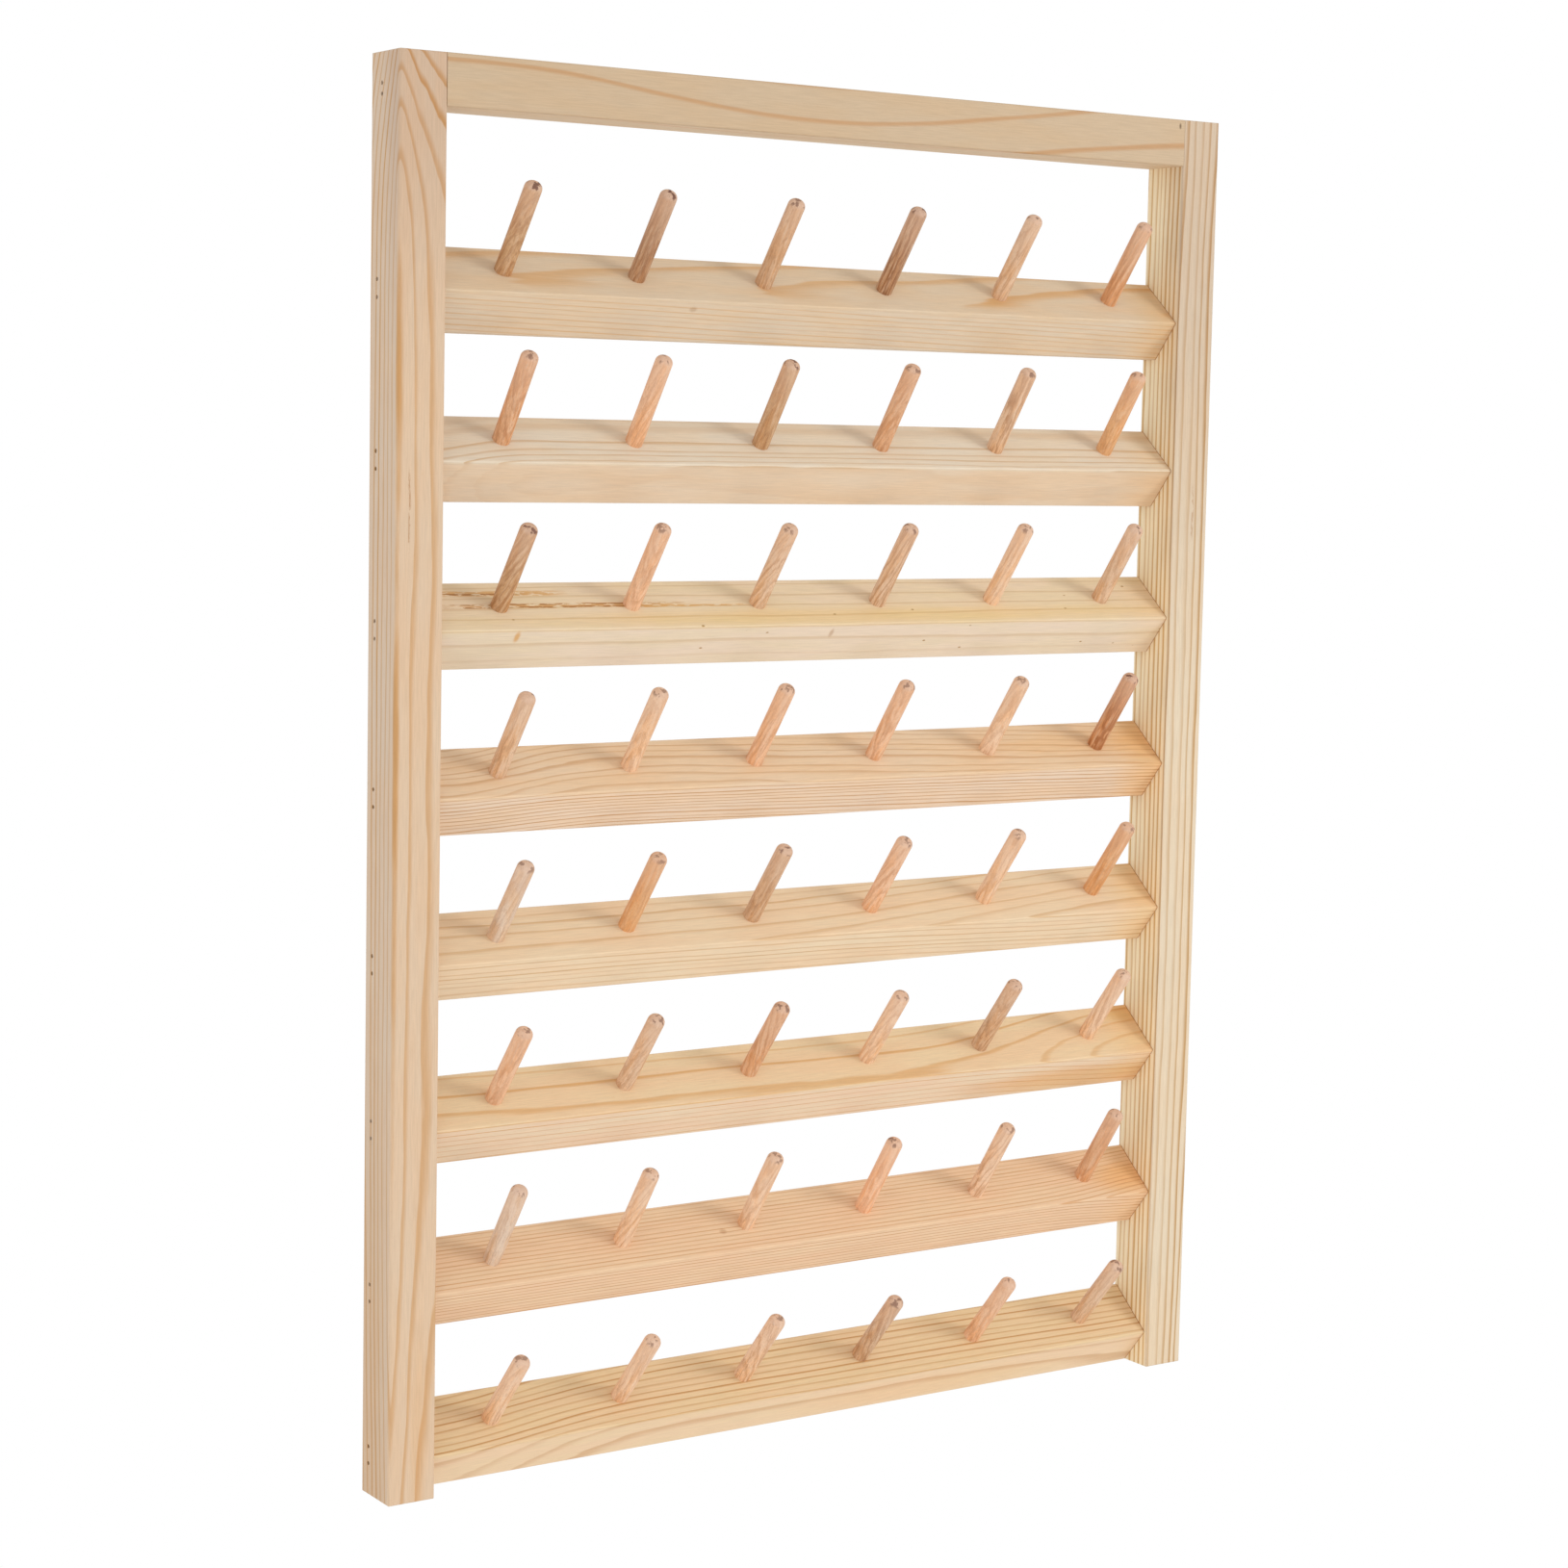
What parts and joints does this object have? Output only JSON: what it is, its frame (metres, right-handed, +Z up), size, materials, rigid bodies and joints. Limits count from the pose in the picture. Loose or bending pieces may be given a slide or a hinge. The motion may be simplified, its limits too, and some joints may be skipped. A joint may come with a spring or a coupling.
{
  "type": "thread rack",
  "caption": "Wall rack for spools of sewing thread: a pine frame whose sloping rails carry rows of round wooden pegs.",
  "frame": {"origin": "centre of the top rail's back face, on the wall plane, mid-width and mid-height of that rail", "axes": "+Z up along the stiles, +Y into the wall, -Y towards the user, +X to the user's right"},
  "size_m": [0.32, 0.0323, 0.445],
  "materials": {
    "pine_left_stile": "planed and sanded, unvarnished",
    "pine_right_stile": "planed and sanded, unvarnished",
    "pine_top_rail": "planed and sanded, unvarnished",
    "pine_peg_rails": "planed and sanded, unvarnished",
    "hardwood_peg": "turned dowel, fine open grain, unvarnished",
    "steel_brad": "bright wire, dulled"
  },
  "bodies": {
    "root": {"left_stile": "pine_left_stile", "right_stile": "pine_right_stile", "top_rail": "pine_top_rail", "peg_rail_1": "pine_peg_rails", "peg_rail_2": "pine_peg_rails", "peg_rail_3": "pine_peg_rails", "peg_rail_4": "pine_peg_rails", "peg_rail_5": "pine_peg_rails", "peg_rail_6": "pine_peg_rails", "peg_rail_7": "pine_peg_rails", "peg_rail_8": "pine_peg_rails", "peg_r1_c1": "hardwood_peg", "peg_r1_c2": "hardwood_peg", "peg_r1_c3": "hardwood_peg", "peg_r1_c4": "hardwood_peg", "peg_r1_c5": "hardwood_peg", "peg_r1_c6": "hardwood_peg", "peg_r2_c1": "hardwood_peg", "peg_r2_c2": "hardwood_peg", "peg_r2_c3": "hardwood_peg", "peg_r2_c4": "hardwood_peg", "peg_r2_c5": "hardwood_peg", "peg_r2_c6": "hardwood_peg", "peg_r3_c1": "hardwood_peg", "peg_r3_c2": "hardwood_peg", "peg_r3_c3": "hardwood_peg", "peg_r3_c4": "hardwood_peg", "peg_r3_c5": "hardwood_peg", "peg_r3_c6": "hardwood_peg", "peg_r4_c1": "hardwood_peg", "peg_r4_c2": "hardwood_peg", "peg_r4_c3": "hardwood_peg", "peg_r4_c4": "hardwood_peg", "peg_r4_c5": "hardwood_peg", "peg_r4_c6": "hardwood_peg", "peg_r5_c1": "hardwood_peg", "peg_r5_c2": "hardwood_peg", "peg_r5_c3": "hardwood_peg", "peg_r5_c4": "hardwood_peg", "peg_r5_c5": "hardwood_peg", "peg_r5_c6": "hardwood_peg", "peg_r6_c1": "hardwood_peg", "peg_r6_c2": "hardwood_peg", "peg_r6_c3": "hardwood_peg", "peg_r6_c4": "hardwood_peg", "peg_r6_c5": "hardwood_peg", "peg_r6_c6": "hardwood_peg", "peg_r7_c1": "hardwood_peg", "peg_r7_c2": "hardwood_peg", "peg_r7_c3": "hardwood_peg", "peg_r7_c4": "hardwood_peg", "peg_r7_c5": "hardwood_peg", "peg_r7_c6": "hardwood_peg", "peg_r8_c1": "hardwood_peg", "peg_r8_c2": "hardwood_peg", "peg_r8_c3": "hardwood_peg", "peg_r8_c4": "hardwood_peg", "peg_r8_c5": "hardwood_peg", "peg_r8_c6": "hardwood_peg", "brad_nails": "steel_brad"}
  },
  "joints": []
}
